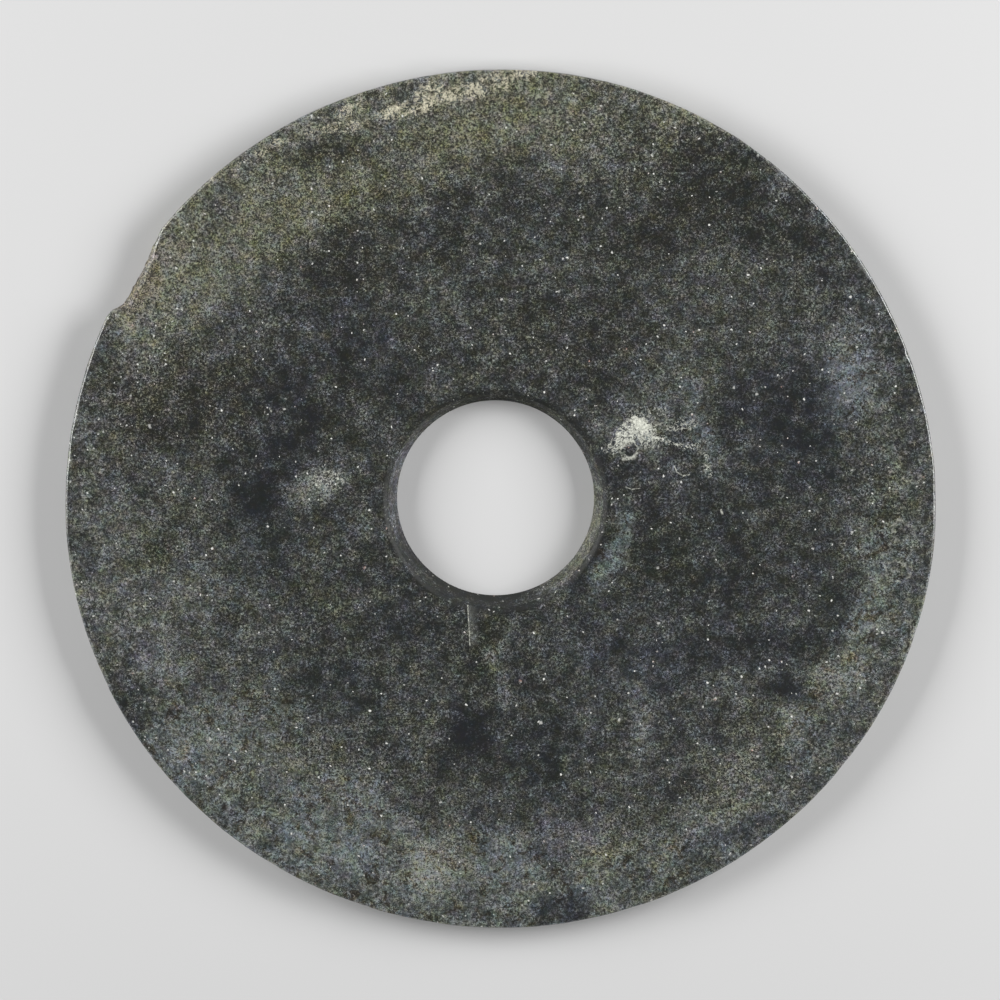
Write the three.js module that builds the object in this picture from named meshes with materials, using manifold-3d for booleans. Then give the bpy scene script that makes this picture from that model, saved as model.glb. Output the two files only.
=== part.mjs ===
// A plain jade bi: a flat stone disc with a round hole, ground and drilled by hand.
// Millimetres, +Z up. It lies on its flat underside, with the origin at the middle of that underside.
// The hole was drilled from the upper face, so it is wider there and narrows towards the underside.

import * as THREE from 'three';
import { mergeVertices } from 'three/addons/utils/BufferGeometryUtils.js';
import Module from 'manifold-3d';

const { degToRad, lerp, smoothstep } = THREE.MathUtils;

// ---- Driving dimensions ----------------------------------------------------------------

const OUTER_DIAMETER = 200;
const THICKNESS = 6;
const HOLE_TOP_DIAMETER = 50.2;
const HOLE_BOTTOM_DIAMETER = 45.1;
const HOLE_CENTRE = { x: -1.2, y: 0.1 };

// The rim was ground by eye. Each row is one wave in its radius: waves a turn, height, and the
// direction of a crest in degrees, anticlockwise from +X.
const RIM_WAVES = [
  { count: 1, height: 0.09, crest: 234 },
  { count: 2, height: 0.25, crest: -6 },
  { count: 3, height: 0.17, crest: -32 },
  { count: 4, height: 0.09, crest: -30 },
  { count: 5, height: 0.12, crest: -11 },
];

// A shallow piece is missing from the rim: the loss starts gently, is deepest past its middle
// and ends in a step. It leans, so the upper face has lost a little more than the underside.
const LOSS = { start: 141, deepest: 149, step: 151.6, end: 154.8, depth: 2.4, lean: 0.4, ease: 0.6 };

// Rounded edges: how far each reaches in from the rim or the hole, and along its height.
const TOP_EDGE = { width: 0.45, height: 0.38 };
const BOTTOM_EDGE = { width: 1.1, height: 1 };
const HOLE_TOP_EDGE = { width: 0.8, height: 0.7 };
const HOLE_BOTTOM_EDGE = { width: 0.4, height: 0.35 };

// The rim's side is widest at the upper face and draws in by this much at the underside.
const SIDE_FALL = 0.5;

// The upper face falls slightly towards the rim, from this share of the way out.
const FACE_FALL = { start: 0.5, drop: 0.35 };

// A saw mark beside the hole: upright along its left side, and rising to nothing on its right.
const SAW_MARK = { x: -7.3, nearY: -24, farY: -33.8, width: 2, depth: 0.35, turn: 4.5 };

// ---- Fineness of the faceted solid -----------------------------------------------------

const TURN_STEPS = 216;
const FACE_STEPS = 4;
const EDGE_STEPS = 3;
const SIDE_STEPS = 2;
const WALL_STEPS = 1;

// ---- Outline ---------------------------------------------------------------------------

function lossDepth(degrees, height) {
  const rise = smoothstep(degrees, LOSS.start, LOSS.deepest) ** LOSS.ease;
  const fall = 1 - smoothstep(degrees, LOSS.step, LOSS.end);
  return (LOSS.depth - LOSS.lean * (1 - height / THICKNESS)) * rise * fall;
}

function rimRadius(degrees, height) {
  let radius = OUTER_DIAMETER / 2;
  for (const { count, height: crestHeight, crest } of RIM_WAVES) {
    radius += crestHeight * Math.cos(degToRad(count * (degrees - crest)));
  }
  return radius - SIDE_FALL * (1 - height / THICKNESS) ** 2 - lossDepth(degrees, height);
}

function holeRadius(height) {
  return lerp(HOLE_BOTTOM_DIAMETER, HOLE_TOP_DIAMETER, height / THICKNESS) / 2;
}

function upperFace(share) {
  const outward = Math.max(0, share - FACE_FALL.start) / (1 - FACE_FALL.start);
  return THICKNESS - FACE_FALL.drop * outward ** 2;
}

// ---- Cross-section ---------------------------------------------------------------------
// A station of the section is the share of the way from the hole to the rim, the inset from
// the nearer of the two, and the height. The section runs outwards along the underside, up
// the rim, inwards along the upper face and down the wall of the hole.

function steps(count, station) {
  return Array.from({ length: count }, (_, step) => station(step / count));
}

// A quarter ellipse between a flat face and an upright wall: turn 0 is at the face, 1 at the wall.
function roundedEdge(edge, share, faceHeight, inwards, turn) {
  const angle = turn * Math.PI / 2;
  return {
    share,
    inset: edge.width * (1 - Math.sin(angle)),
    height: faceHeight + inwards * edge.height * (1 - Math.cos(angle)),
  };
}

function sectionStations() {
  const rimTop = upperFace(1);
  const sideStart = BOTTOM_EDGE.height;
  const sideEnd = rimTop - TOP_EDGE.height;
  const wallStart = THICKNESS - HOLE_TOP_EDGE.height;
  const wallEnd = HOLE_BOTTOM_EDGE.height;
  return [
    ...steps(2, (way) => ({
      share: way,
      inset: faceInset(way, HOLE_BOTTOM_EDGE, BOTTOM_EDGE),
      height: 0,
    })),
    ...steps(EDGE_STEPS, (way) => roundedEdge(BOTTOM_EDGE, 1, 0, 1, way)),
    ...steps(SIDE_STEPS, (way) => ({ share: 1, inset: 0, height: lerp(sideStart, sideEnd, way) })),
    ...steps(EDGE_STEPS, (way) => roundedEdge(TOP_EDGE, 1, rimTop, -1, 1 - way)),
    ...steps(FACE_STEPS, (way) => ({
      share: 1 - way,
      inset: faceInset(1 - way, HOLE_TOP_EDGE, TOP_EDGE),
      height: upperFace(1 - way),
    })),
    ...steps(2, (way) => roundedEdge(HOLE_TOP_EDGE, 0, THICKNESS, -1, way)),
    ...steps(WALL_STEPS, (way) => ({ share: 0, inset: 0, height: lerp(wallStart, wallEnd, way) })),
    roundedEdge(HOLE_BOTTOM_EDGE, 0, 0, 1, 1),
  ];
}

// The inset passes from the rounding of the hole's edge to that of the rim's edge.
function faceInset(share, holeEdge, rimEdge) {
  return lerp(holeEdge.width, rimEdge.width, share);
}

function surfacePoint(degrees, { share, inset, height }) {
  const outward = new THREE.Vector2(Math.cos(degToRad(degrees)), Math.sin(degToRad(degrees)));
  const rim = outward.clone().multiplyScalar(rimRadius(degrees, height) - inset);
  const hole = outward.clone().multiplyScalar(holeRadius(height) + inset).add(HOLE_CENTRE);
  const place = hole.lerp(rim, share);
  return [place.x, place.y, height];
}

// ---- Solids ----------------------------------------------------------------------------

function discGeometry() {
  const stations = sectionStations();
  const rows = stations.length;
  const positions = [];
  const triangles = [];
  for (let turn = 0; turn < TURN_STEPS; turn += 1) {
    const nextTurn = (turn + 1) % TURN_STEPS;
    stations.forEach((station, row) => {
      positions.push(...surfacePoint((360 * turn) / TURN_STEPS, station));
      const nextRow = (row + 1) % rows;
      const here = turn * rows + row;
      const beside = nextTurn * rows + row;
      const above = turn * rows + nextRow;
      const across = nextTurn * rows + nextRow;
      triangles.push(here, beside, across, here, across, above);
    });
  }
  const geometry = new THREE.BufferGeometry();
  geometry.setAttribute('position', new THREE.Float32BufferAttribute(positions, 3));
  geometry.setIndex(triangles);
  return geometry;
}

// The tool that cuts the saw mark: a long wedge, upright on its left side.
function sawWedge() {
  const clear = SAW_MARK.depth;
  const slope = SAW_MARK.width / SAW_MARK.depth;
  const section = new THREE.Shape([
    new THREE.Vector2(0, -SAW_MARK.depth),
    new THREE.Vector2(SAW_MARK.width + clear * slope, clear),
    new THREE.Vector2(0, clear),
  ]);
  const length = SAW_MARK.nearY - SAW_MARK.farY;
  const wedge = new THREE.ExtrudeGeometry(section, { depth: length, bevelEnabled: false });
  wedge.rotateX(Math.PI / 2);
  wedge.rotateZ(degToRad(SAW_MARK.turn));
  return wedge.translate(SAW_MARK.x, SAW_MARK.nearY, THICKNESS);
}

const wasm = await Module();
wasm.setup();

function solidOf(geometry) {
  geometry.deleteAttribute('normal');
  geometry.deleteAttribute('uv');
  const merged = mergeVertices(geometry);
  return new wasm.Manifold(new wasm.Mesh({
    numProp: 3,
    vertProperties: merged.attributes.position.array,
    triVerts: new Uint32Array(merged.index.array),
  }));
}

function geometryOf(solid) {
  const { vertProperties, triVerts } = solid.getMesh();
  const geometry = new THREE.BufferGeometry();
  geometry.setAttribute('position', new THREE.BufferAttribute(vertProperties, 3));
  geometry.setIndex(new THREE.BufferAttribute(triVerts, 1));
  geometry.computeVertexNormals();
  return geometry;
}

// ---- The object ------------------------------------------------------------------------

const jade = new THREE.MeshStandardMaterial({ color: 0x4a4d49, roughness: 0.48, metalness: 0 });

const disc = new THREE.Mesh(geometryOf(solidOf(discGeometry()).subtract(solidOf(sawWedge()))), jade);
disc.name = 'bi_disc';

const bi = new THREE.Group();
bi.add(disc);

export default bi;
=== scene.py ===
"""A plain jade bi disc: its ground and worn surface, its mottled stone, and a plain studio to see it in.

It is laid out as an add-on with one operator for the disc and one for the studio, and is run as a script.
"""

import itertools
import math
from types import SimpleNamespace

import bpy
import numpy as np
from bpy.props import FloatProperty, FloatVectorProperty, IntProperty, PointerProperty
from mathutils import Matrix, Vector


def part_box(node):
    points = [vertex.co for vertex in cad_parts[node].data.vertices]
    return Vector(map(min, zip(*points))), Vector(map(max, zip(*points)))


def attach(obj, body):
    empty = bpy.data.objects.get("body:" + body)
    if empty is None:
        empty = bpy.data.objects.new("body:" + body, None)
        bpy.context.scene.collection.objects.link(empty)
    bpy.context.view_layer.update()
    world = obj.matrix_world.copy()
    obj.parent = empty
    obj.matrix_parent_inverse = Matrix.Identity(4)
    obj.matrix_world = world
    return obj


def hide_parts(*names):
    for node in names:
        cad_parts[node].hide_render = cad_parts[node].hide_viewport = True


bl_info = {
    "name": "Jade Bi Disc",
    "version": (1, 0, 0),
    "blender": (4, 5, 0),
    "location": "View3D > Sidebar > Bi Disc",
    "description": "Makes a hand-ground jade bi disc with a mottled stone finish, and a plain studio",
    "category": "Object",
}

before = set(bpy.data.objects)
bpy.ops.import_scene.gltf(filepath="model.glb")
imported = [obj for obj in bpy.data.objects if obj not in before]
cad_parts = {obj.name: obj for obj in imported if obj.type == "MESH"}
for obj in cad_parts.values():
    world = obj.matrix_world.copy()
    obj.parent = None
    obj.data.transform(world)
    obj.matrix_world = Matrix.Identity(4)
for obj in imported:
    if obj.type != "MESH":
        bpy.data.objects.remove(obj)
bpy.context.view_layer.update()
NODE = "bi_disc"

MM = 0.001
LOW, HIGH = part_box(NODE)

# ---- Shape of the disc, in millimetres, in the disc's own frame --------------------------------

# Each wave in the rim: waves a turn, height, and the direction of a crest in degrees.
RIM_WAVES = ((1, 0.09, 234), (2, 0.25, -6), (3, 0.17, -32), (4, 0.09, -30), (5, 0.12, -11))

# The piece missing from the rim: where it starts, is deepest, steps back and ends, in degrees.
LOSS = {"start": 141.0, "deepest": 149.0, "step": 151.6, "end": 154.8}
LOSS_DEPTH = 2.4  # at the upper face
LOSS_LEAN = 0.4  # how much less the underside has lost
LOSS_EASE = 0.6  # power of its S curve: below 1 it deepens early

SIDE_FALL = 0.5  # how far the rim's side draws in from the upper face to the underside
FACE_FALL_START = 0.5  # share of the way out where the upper face begins to fall
FACE_FALL = 0.35

# Worn edges: width in from the wall, and depth along it. The rim's upper edge is among the sizes below.
LOW_EDGE = (1.1, 1.0)
HOLE_EDGE = (0.8, 0.7)
LOW_HOLE_EDGE = (0.4, 0.35)
TOP_EDGE_DEPTH = 0.85  # depth of the rim's upper edge, as a share of its width
EDGE_POWER = 1.45  # 1 gives an ellipse, and more gives a flatter edge

HOLE_CENTRE = (-1.2, 0.1)
WALL_REACH = (25.2, 26.8)  # distances from the hole's middle over which what is on its wall fades

# The saw mark beside the hole: where it starts, its turn in degrees from -Y, and its length.
SAW_MARK = {"start": (-7.3, -24.0), "turn": 4.5, "length": 9.9}

# Small flakes off the upper edge of the rim: direction and half-width in degrees, and growth of the edge.
FLAKES = (
    (99, 2.6, 3), (104.5, 1.4, 1.6), (86, 1.8, 1.4), (62, 1.6, 1.2), (118, 2.2, 1.6),
    (204, 1.6, 1.4), (238, 1.2, 1.6), (251, 2, 1.1), (288, 1.3, 1.4), (322, 1.7, 1.1),
    (342, 1, 1.2), (20, 0.9, 0.9),
)

# Rows of the surface's grid along each stretch of the cross-section. The upper face has two stretches, which
# meet at a share of the way from hole to rim.
FACE_JOIN = 0.17
ROWS = {
    "underside": 24, "bottom_edge": 8, "side": 14, "top_edge": 12,
    "outer_face": 44, "inner_face": 24, "hole_edge": 8, "wall": 22, "lower_hole_edge": 3,
}


def ease(value, start, end):
    """Rises from 0 at start to 1 at end along an S curve: 3t^2 - 2t^3 of the clamped share of the way."""
    way = np.clip((value - start) / (end - start), 0.0, 1.0)
    return way * way * (3.0 - 2.0 * way)


def lerp(first, last, way):
    """The straight blend of two values: first at way 0 and last at way 1."""
    return first + (last - first) * way


def lattice_noise(points, cell, seed):
    """Smooth noise from -1 to 1: random values on a cubic lattice, blended in each cell by eased weights."""
    table = np.random.default_rng(seed).uniform(-1.0, 1.0, 4093)
    scaled = points / cell
    corner_cell = np.floor(scaled).astype(np.int64)
    part = scaled - corner_cell
    part = part * part * (3.0 - 2.0 * part)
    total = np.zeros(points.shape[:-1])
    for corner in itertools.product((0, 1), repeat=3):
        at = corner_cell + np.array(corner)
        mixed = at[..., 0] * 73856093 ^ at[..., 1] * 19349663 ^ at[..., 2] * 83492791
        weight = np.prod(np.where(np.array(corner) == 1, part, 1.0 - part), axis=-1)
        total += weight * table[mixed % table.size]
    return total


def ring_points(degrees, radius, height):
    """Points on circles about the Z axis, for noise that follows a turned surface."""
    angle = np.radians(degrees)
    return np.stack(np.broadcast_arrays(radius * np.cos(angle), radius * np.sin(angle), height), axis=-1)


def turn_degrees(count):
    """Directions of the grid's columns: evenly spread, but three times as close about the loss in the rim."""
    fine = np.linspace(0.0, 360.0, 7201)
    middle = 0.5 * (LOSS["start"] + LOSS["end"])
    density = 1.0 + 2.0 * np.exp(-(((fine - middle) / 9.0) ** 2))
    share = np.concatenate(([0.0], np.cumsum(0.5 * (density[1:] + density[:-1]))))
    return np.interp(np.arange(count) / count, share / share[-1], fine)[:, None]


def loss_share(degrees):
    """How far the loss has reached, 0 to 1: a powered S curve up to the deepest place, then a step back."""
    rise = ease(degrees, LOSS["start"], LOSS["deepest"]) ** LOSS_EASE
    return rise * (1.0 - ease(degrees, LOSS["step"], LOSS["end"]))


def rim_radius(degrees, height, sizes):
    """The rim's distance from the axis: mean radius, plus ground-in waves, less the side's fall and the loss.

    The side is widest at the top, and falls inwards by the square of the way down.
    """
    thickness = sizes.thickness / MM
    radius = np.full(np.broadcast(degrees, height).shape, sizes.outer_diameter / MM / 2.0)
    for count, crest_height, crest in RIM_WAVES:
        radius = radius + crest_height * np.cos(np.radians(count * (degrees - crest)))
    level = height / thickness
    radius = radius - SIDE_FALL * (1.0 - level) ** 2
    broken = loss_share(degrees)
    radius = radius - (LOSS_DEPTH - LOSS_LEAN * (1.0 - level)) * broken
    on_rim = ring_points(degrees, 100.0, height)
    ground = 0.07 * lattice_noise(on_rim, 9.0, 3) + 0.045 * lattice_noise(on_rim, 3.1, 4)
    torn = 0.34 * lattice_noise(on_rim, 2.3, 5) + 0.2 * lattice_noise(on_rim, 0.9, 6) - 0.1
    return radius + ground * (1.0 - broken) + torn * ease(broken, 0.0, 0.35)


def hole_radius(degrees, height, sizes):
    """The hole's radius: a straight taper from face to face, with rings and a slow wobble from the drill."""
    level = height * MM / sizes.thickness
    radius = lerp(sizes.hole_bottom_diameter, sizes.hole_top_diameter, level) / MM / 2.0
    on_wall = ring_points(degrees, 4.0, height)
    rings = 0.05 * lattice_noise(on_wall * (0.5, 0.5, 1.0), 0.55, 11)
    wobble = 0.05 * lattice_noise(ring_points(degrees, 23.0, height), 12.0, 12)
    return radius + rings + wobble


def upper_face(share, thickness):
    """Height of the upper face: level, then falling by the square of the way over its outer half."""
    outward = np.clip((share - FACE_FALL_START) / (1.0 - FACE_FALL_START), 0.0, None)
    return thickness - FACE_FALL * outward**2


def edge_growth(degrees):
    """How much wider than drawn the rim's upper edge is: slow and quick noise, and a bump for each flake."""
    on_rim = ring_points(degrees, 100.0, 0.0)
    growth = 1.0 + 0.22 * lattice_noise(on_rim, 11.0, 21) + 0.16 * lattice_noise(on_rim, 2.6, 22)
    for direction, half_width, extra in FLAKES:
        away = (degrees - direction + 180.0) % 360.0 - 180.0
        growth = growth + extra * np.clip(1.0 - (away / half_width) ** 2, 0.0, 1.0)
    return growth + 2.0 * loss_share(degrees)


def rounded_edge(way, edge, share, face, inwards):
    """A worn edge between a face and an upright wall, flatter than an ellipse: powered sine and cosine.

    Way 0 is at the face and 1 at the wall. It gives the share, the inset from the wall and the height.
    """
    width, depth = edge
    angle = way * math.pi / 2.0
    inset = width * (1.0 - np.sin(angle) ** EDGE_POWER)
    height = face + inwards * depth * (1.0 - np.cos(angle) ** EDGE_POWER)
    return np.broadcast_arrays(float(share), inset, height)


def way_along(rows):
    """Shares of the way along one stretch of the section, from 0 up to but not reaching 1."""
    return (np.arange(rows) / rows)[None, :]


def section(degrees, sizes):
    """The closed cross-section in each direction, as share of the way from hole to rim, inset and height.

    It runs outwards along the underside, up the rim, inwards along the upper face and down the hole's wall.
    """
    thickness = sizes.thickness / MM
    top_width = sizes.edge_wear / MM * edge_growth(degrees)
    top_depth = TOP_EDGE_DEPTH * top_width
    rim_top = upper_face(1.0, thickness)
    way = {name: way_along(rows) for name, rows in ROWS.items()}
    outer = lerp(1.0, FACE_JOIN, way["outer_face"])
    inner = lerp(FACE_JOIN, 0.0, way["inner_face"])
    stretches = [
        (way["underside"], lerp(LOW_HOLE_EDGE[0], LOW_EDGE[0], way["underside"]), 0.0),
        rounded_edge(way["bottom_edge"], LOW_EDGE, 1.0, 0.0, 1.0),
        (1.0, 0.0, lerp(LOW_EDGE[1], rim_top - top_depth, way["side"])),
        rounded_edge(1.0 - way["top_edge"], (top_width, top_depth), 1.0, rim_top, -1.0),
        (outer, lerp(HOLE_EDGE[0], top_width, outer), upper_face(outer, thickness)),
        (inner, lerp(HOLE_EDGE[0], top_width, inner), upper_face(inner, thickness)),
        rounded_edge(way["hole_edge"], HOLE_EDGE, 0.0, thickness, -1.0),
        (0.0, 0.0, lerp(thickness - HOLE_EDGE[1], LOW_HOLE_EDGE[1], way["wall"])),
        rounded_edge(1.0 - way["lower_hole_edge"], LOW_HOLE_EDGE, 0.0, 0.0, 1.0),
    ]
    turns = len(degrees)
    wide = []
    for (share, inset, height), rows in zip(stretches, ROWS.values()):
        wide.append([np.broadcast_to(value, (turns, rows)) for value in (share, inset, height)])
    return [np.concatenate(values, axis=1) for values in zip(*wide)]


def row_mask(*names):
    """1 on the rows of the named stretches of the section and 0 elsewhere."""
    return np.concatenate([np.full(rows, float(name in names)) for name, rows in ROWS.items()])[None, :]


def saw_mark(x, y, sizes):
    """Depth of the saw mark, 0 to 1: full along its upright left side, and falling evenly to its right."""
    turn, length = math.radians(SAW_MARK["turn"]), SAW_MARK["length"]
    along_x, along_y = math.sin(turn), -math.cos(turn)
    from_start = (x - SAW_MARK["start"][0], y - SAW_MARK["start"][1])
    along = from_start[0] * along_x + from_start[1] * along_y
    across = from_start[0] * -along_y + from_start[1] * along_x
    width = sizes.saw_mark_width / MM
    slope = np.clip(1.0 - across / width, 0.0, 1.0) * ease(across, -0.12, 0.06)
    return slope * ease(along, -0.6, 0.0) * (1.0 - ease(along, length - 0.6, length))


def disc_surface(sizes):
    """The whole surface as a grid closed both ways: direction round the axis by place along the section.

    A point is the blend, by share, of a point of the hole's wall and a point of the rim, both at its height;
    slow noise then raises and lowers the upper face, and the saw mark is taken out of it.
    """
    degrees = turn_degrees(sizes.columns)
    share, inset, height = section(degrees, sizes)
    angle = np.radians(degrees)
    reach_rim = rim_radius(degrees, height, sizes) - inset
    reach_hole = hole_radius(degrees, height, sizes) + inset
    x = lerp(sizes.hole_centre_x / MM + reach_hole * np.cos(angle), reach_rim * np.cos(angle), share)
    y = lerp(sizes.hole_centre_y / MM + reach_hole * np.sin(angle), reach_rim * np.sin(angle), share)
    place = np.stack((x, y, height), axis=-1)
    upper = row_mask("outer_face", "inner_face", "top_edge", "hole_edge")
    wave = 0.05 * lattice_noise(place, 24.0, 31) + 0.02 * lattice_noise(place, 6.5, 32) - 0.03
    mark = saw_mark(x, y, sizes) * upper
    edge_noise = 0.05 * lattice_noise(place, 1.7, 33) * row_mask("top_edge", "hole_edge")
    rise = upper * wave + edge_noise - sizes.saw_mark_depth / MM * mark
    grid = np.stack((x, y, height + rise), axis=-1) * MM
    masks = {
        "hole_wall": np.broadcast_to(row_mask("wall", "lower_hole_edge"), x.shape),
        # This mask, +1 on the rim's upper edge and -1 on the hole's, sets wear and polish, and also a painted
        # highlight on the rim and painted shade at the hole's mouth.
        "worn_edge_and_painted_light": np.broadcast_to(row_mask("top_edge") - row_mask("hole_edge"), x.shape),
        "saw_mark": mark,
        "loss": np.broadcast_to(loss_share(degrees), x.shape) * ease(share, 0.955, 0.985),
        "tone_and_wall_shade": tone_and_wall_shade(place),
        "white_crust": np.maximum(patch_amount(place, WHITE_CRUST), strand_amount(place, WHITE_STRANDS)),
        "cream_crust": strand_amount(place, VEIN_STRANDS),
    }
    return grid, masks


def closed_grid_faces(columns, rows):
    """Four-sided faces of a grid that closes both ways, each turned so that the surface faces outwards."""
    column, row = np.meshgrid(np.arange(columns), np.arange(rows), indexing="ij")
    next_column, next_row = (column + 1) % columns, (row + 1) % rows
    corners = (column * rows + row, next_column * rows + row,
               next_column * rows + next_row, column * rows + next_row)
    return np.stack(corners, axis=-1).reshape(-1, 4)


def mesh_from_grid(name, grid, masks):
    """A smooth mesh of a closed grid, with each mask kept as a value on its points."""
    columns, rows = grid.shape[:2]
    mesh = bpy.data.meshes.new(name)
    mesh.from_pydata(grid.reshape(-1, 3), [], closed_grid_faces(columns, rows))
    mesh.shade_smooth()
    for title, values in masks.items():
        attribute = mesh.attributes.new(title, "FLOAT" if values.ndim == 2 else "FLOAT_VECTOR", "POINT")
        field = "value" if values.ndim == 2 else "vector"
        attribute.data.foreach_set(field, values.astype(np.float32).ravel())
    mesh.update()
    return mesh


# ---- Laying shader nodes ------------------------------------------------------------------------


class Bench:
    """Lays nodes in one node tree. A value fills a socket, and another node's output is joined to it."""

    def __init__(self, tree):
        self.tree = tree

    def lay(self, kind, sockets=(), settings=()):
        """Adds a node, sets its settings, fills its sockets by name or number, and gives it back."""
        node = self.tree.nodes.new(kind)
        for name, value in dict(settings).items():
            setattr(node, name, value)
        for name, value in dict(sockets).items():
            self.fill(node.inputs[name], value)
        return node

    def fill(self, socket, value):
        """Joins an output to the socket, or sets the socket's own value."""
        if isinstance(value, bpy.types.NodeSocket):
            self.tree.links.new(value, socket)
        else:
            socket.default_value = value

    def math(self, operation, *values):
        node = self.lay("ShaderNodeMath", enumerate(values), {"operation": operation})
        return node.outputs[0]

    def vector(self, operation, *values):
        node = self.lay("ShaderNodeVectorMath", enumerate(values), {"operation": operation})
        return node.outputs["Value" if operation in ("LENGTH", "DOT_PRODUCT", "DISTANCE") else "Vector"]

    def scaled(self, vector, factor):
        """A vector or a colour times a factor."""
        node = self.lay("ShaderNodeVectorMath", {0: vector, "Scale": factor}, {"operation": "SCALE"})
        return node.outputs[0]

    def shrunk(self, vector, size):
        """A vector divided by a size, which may be another node's output."""
        sizes = self.lay("ShaderNodeCombineXYZ", {0: size, 1: size, 2: size}).outputs[0]
        return self.vector("DIVIDE", vector, sizes)

    def span(self, value, start, end, low=0.0, high=1.0, smooth=True):
        """Maps start..end to low..high, clamped, along an S curve unless smooth is off."""
        sockets = {"Value": value, "From Min": start, "From Max": end, "To Min": low, "To Max": high}
        kind = "SMOOTHSTEP" if smooth else "LINEAR"
        return self.lay("ShaderNodeMapRange", sockets, {"interpolation_type": kind}).outputs["Result"]

    def tint(self, factor, first, last):
        """A blend of two colours by a factor."""
        node = self.lay("ShaderNodeMix", {0: factor, 6: first, 7: last}, {"data_type": "RGBA"})
        return node.outputs[2]

    def noise(self, place, size, detail=2.0, roughness=0.55, shift=0.0, distortion=0.0, output="Fac"):
        """Noise whose features are about size across, in the unit of place. Shift gives another draw."""
        moved = self.vector("ADD", place, (shift * 13.7, shift * 7.9, shift * 5.3)) if shift else place
        sockets = {
            "Vector": moved, "Scale": 1.0 / size, "Detail": detail, "Roughness": roughness,
            "Distortion": distortion,
        }
        return self.lay("ShaderNodeTexNoise", sockets).outputs[output]


def node_group(name, inputs, outputs):
    """A new shader node group with named sockets.

    It gives the group, a bench for it, its inputs by name, and a function that sets an output.
    """
    group = bpy.data.node_groups.new(name, "ShaderNodeTree")
    for title, kind, default in inputs:
        socket = group.interface.new_socket(title, in_out="INPUT", socket_type="NodeSocket" + kind)
        if default is not None:
            socket.default_value = default
    for title, kind in outputs:
        group.interface.new_socket(title, in_out="OUTPUT", socket_type="NodeSocket" + kind)
    entry = group.nodes.new("NodeGroupInput")
    way_out = group.nodes.new("NodeGroupOutput")
    bench = Bench(group)
    given = {title: entry.outputs[title] for title, _, _ in inputs}

    def give(title, value):
        group.links.new(value, way_out.inputs[title])

    return group, bench, given, give


def place_group(bench, group, **sockets):
    """A node that uses a group, with its sockets filled. Underscores in the names stand for spaces."""
    node = bench.lay("ShaderNodeGroup", settings={"node_tree": group})
    for name, value in sockets.items():
        bench.fill(node.inputs[name.replace("_", " ")], value)
    return node.outputs


# ---- The jade's finish --------------------------------------------------------------------------

# What each kind of cloud adds to the stone's tone: lightness, yellowness and greenness.
CLOUD_KINDS = {
    "pale": (1.0, 0.0, 0.0), "dark": (-1.0, 0.0, 0.0), "olive": (0.6, 0.9, -0.5),
    "khaki": (-0.3, 0.8, 0.2), "cream": (1.0, 0.75, -1.0), "teal": (-0.4, -0.4, 1.0),
    "mint": (0.9, 0.0, 1.0), "blue": (-0.5, -1.0, 0.3), "navy": (-1.0, -1.2, 0.3),
    "sky": (0.9, -0.6, 0.8), "lilac": (0.3, -0.9, -0.8), "brown": (-0.7, 0.2, -0.9),
}

# Clouds that follow the rim: kind, middle radius and half-width in millimetres, middle and half the
# sweep in degrees, and strength.
RIM_CLOUDS = (
    ("olive", 90, 17, 118, 46, 0.9),
    ("olive", 92, 13, 76, 28, 0.35),
    ("mint", 92, 14, -108, 46, 0.85),
    ("mint", 93, 10, -55, 24, 0.4),
    ("mint", 91, 9, -18, 26, 0.5),
    ("teal", 96, 6, 30, 20, 0.4),
    ("pale", 84, 14, -160, 22, 0.4),
)

# Clouds on the hole's wall, which paint light and shade on it by side, in the wall's own hues: lighter
# towards -X and +X, darker towards +Y, and darkest towards -Y, where the second dark cloud deepens the
# painted shade low in the hole. Columns: kind, middle and half the sweep in degrees round the disc, strength,
# and the height in millimetres above which they fade.
WALL_PAINTED_LIGHT_CLOUDS = (
    ("dark", -120, 46, 1, 7),
    ("dark", -112, 40, 1.2, 2.4),
    ("khaki", 92, 50, 0.6, 6),
    ("dark", 92, 40, 0.4, 7),
    ("lilac", 170, 38, 1.3, 4.5),
    ("olive", -18, 42, 1.5, 4.8),
)

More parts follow.
